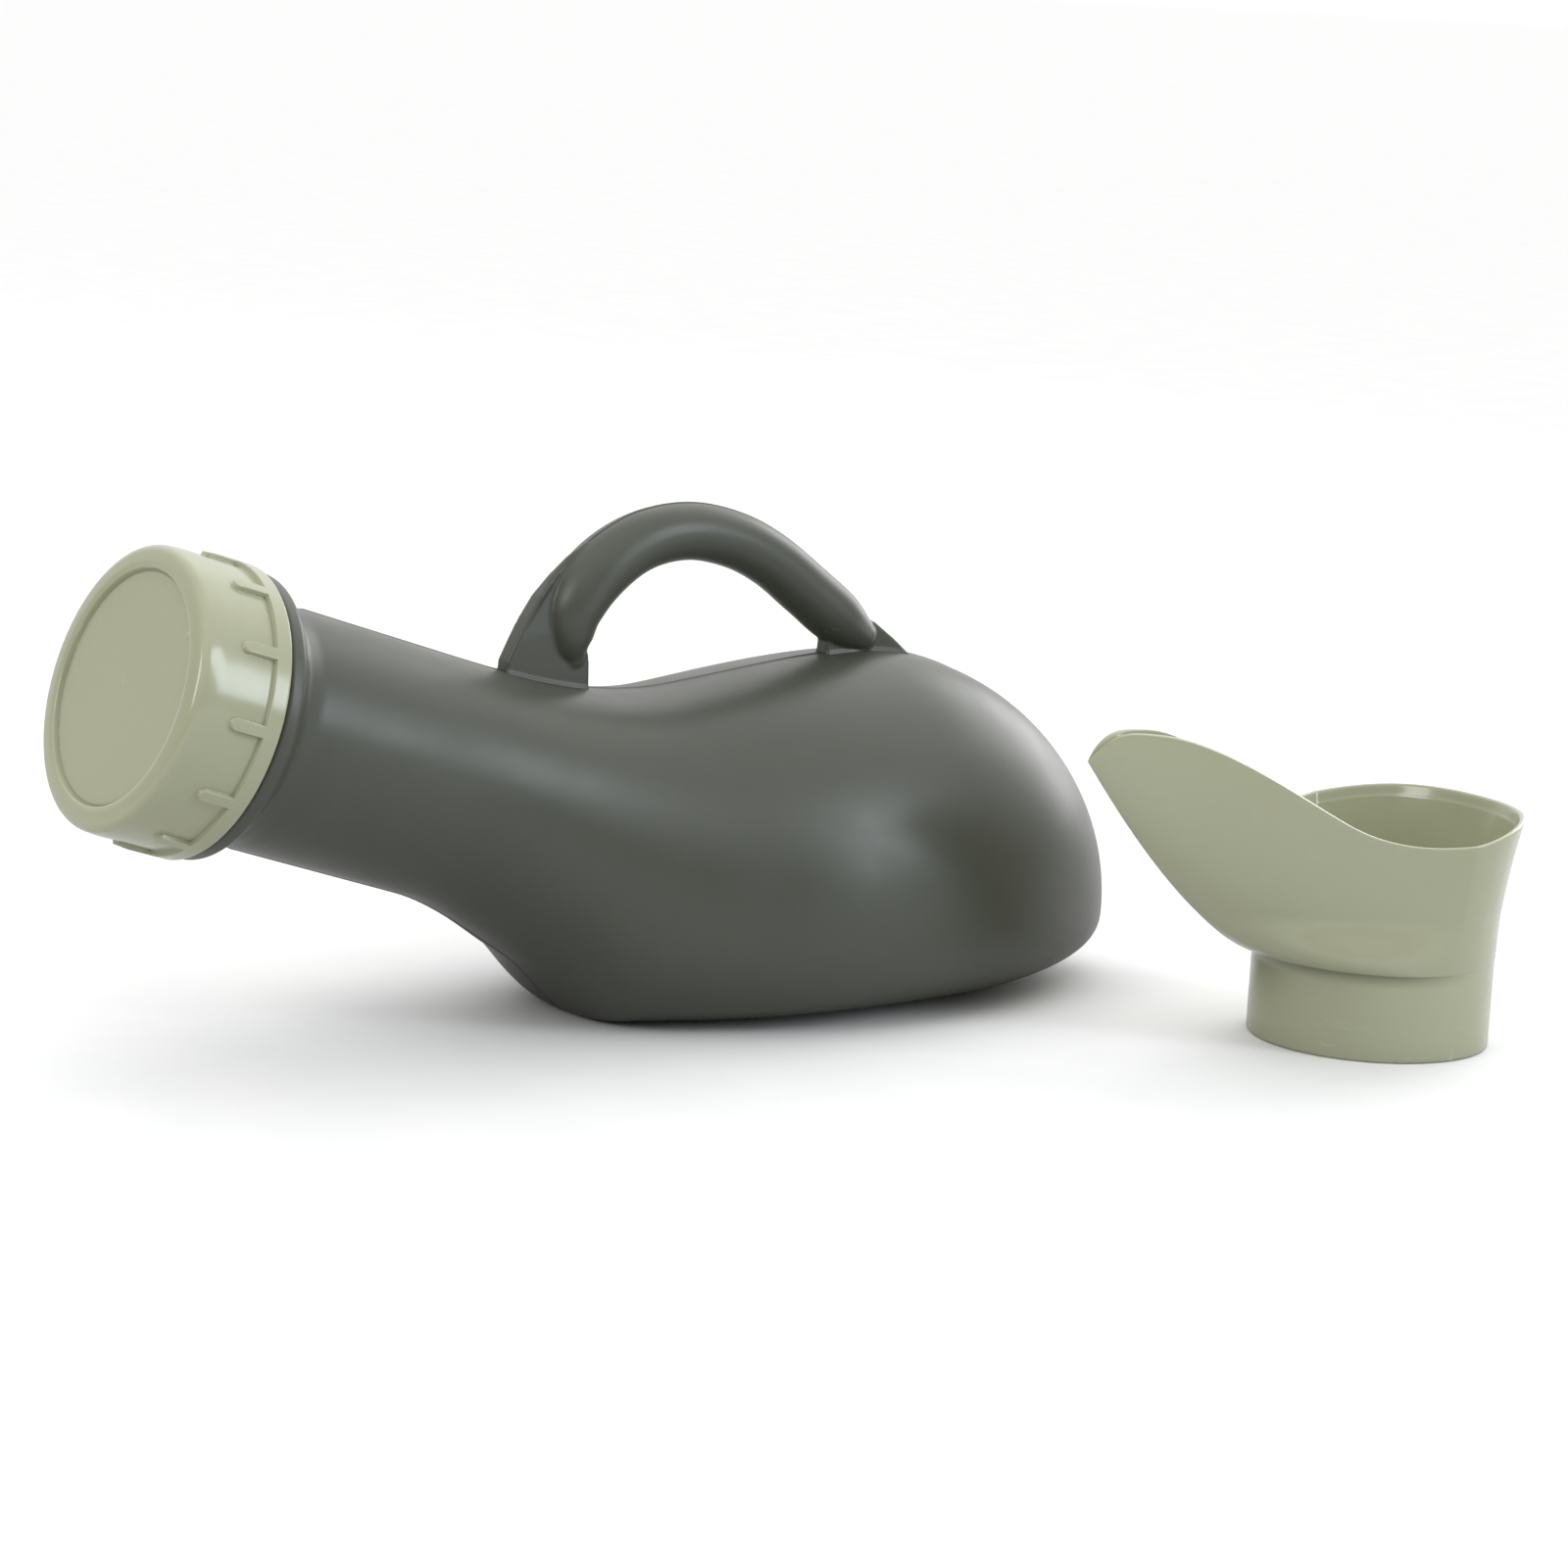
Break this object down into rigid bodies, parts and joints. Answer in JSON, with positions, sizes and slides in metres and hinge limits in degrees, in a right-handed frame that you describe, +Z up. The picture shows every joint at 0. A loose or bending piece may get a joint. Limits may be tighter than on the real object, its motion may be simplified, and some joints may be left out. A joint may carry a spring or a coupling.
{
  "type": "urine bottle",
  "caption": "Hollow bottle with a flat-based belly, sloping neck, arched carry handle and ribbed screw cap, and a loose scoop-shaped adapter that fits over the mouth.",
  "frame": {"origin": "middle of the bottle's flat base, on the surface it stands on", "axes": "+Z up, -X towards the mouth and cap, +X towards the bottle's rounded rear; the bottle is symmetric about the XZ plane and the adapter stands at +X, -Y of it"},
  "size_m": [0.3533, 0.197, 0.1289],
  "materials": {
    "bottle_plastic": "satin dark olive polyethylene, blow moulded",
    "cap_plastic": "semi-gloss pale sage polypropylene, injection moulded",
    "liner_foam": "off-white polyethylene foam"
  },
  "bodies": {
    "bottle": {"bottle_shell": "bottle_plastic", "carry_handle": "bottle_plastic"},
    "seal": {"cap_liner": "liner_foam"},
    "cap": {"screw_cap": "cap_plastic"},
    "adapter": {"female_adapter": "cap_plastic"}
  },
  "joints": [
    {"name": "cap_advance", "type": "slide", "parent": "bottle", "child": "seal", "axis": [-0.9542, 0, 0.299], "range_m": [0, 0.0215]},
    {"name": "cap_turn", "type": "hinge", "parent": "seal", "child": "cap", "pos_m": [-0.15, 0, 0.083], "axis": [-0.9542, 0, 0.299], "range_deg": [0, 1260]},
    {"name": "adapter_lift", "type": "slide", "parent": "bottle", "child": "adapter", "axis": [0, 0, 1], "range_m": [0, 0.15]}
  ],
  "couplings": [
    {"joint": "cap_advance", "follows": "cap_turn", "m_per_rad": 0.00095493}
  ]
}
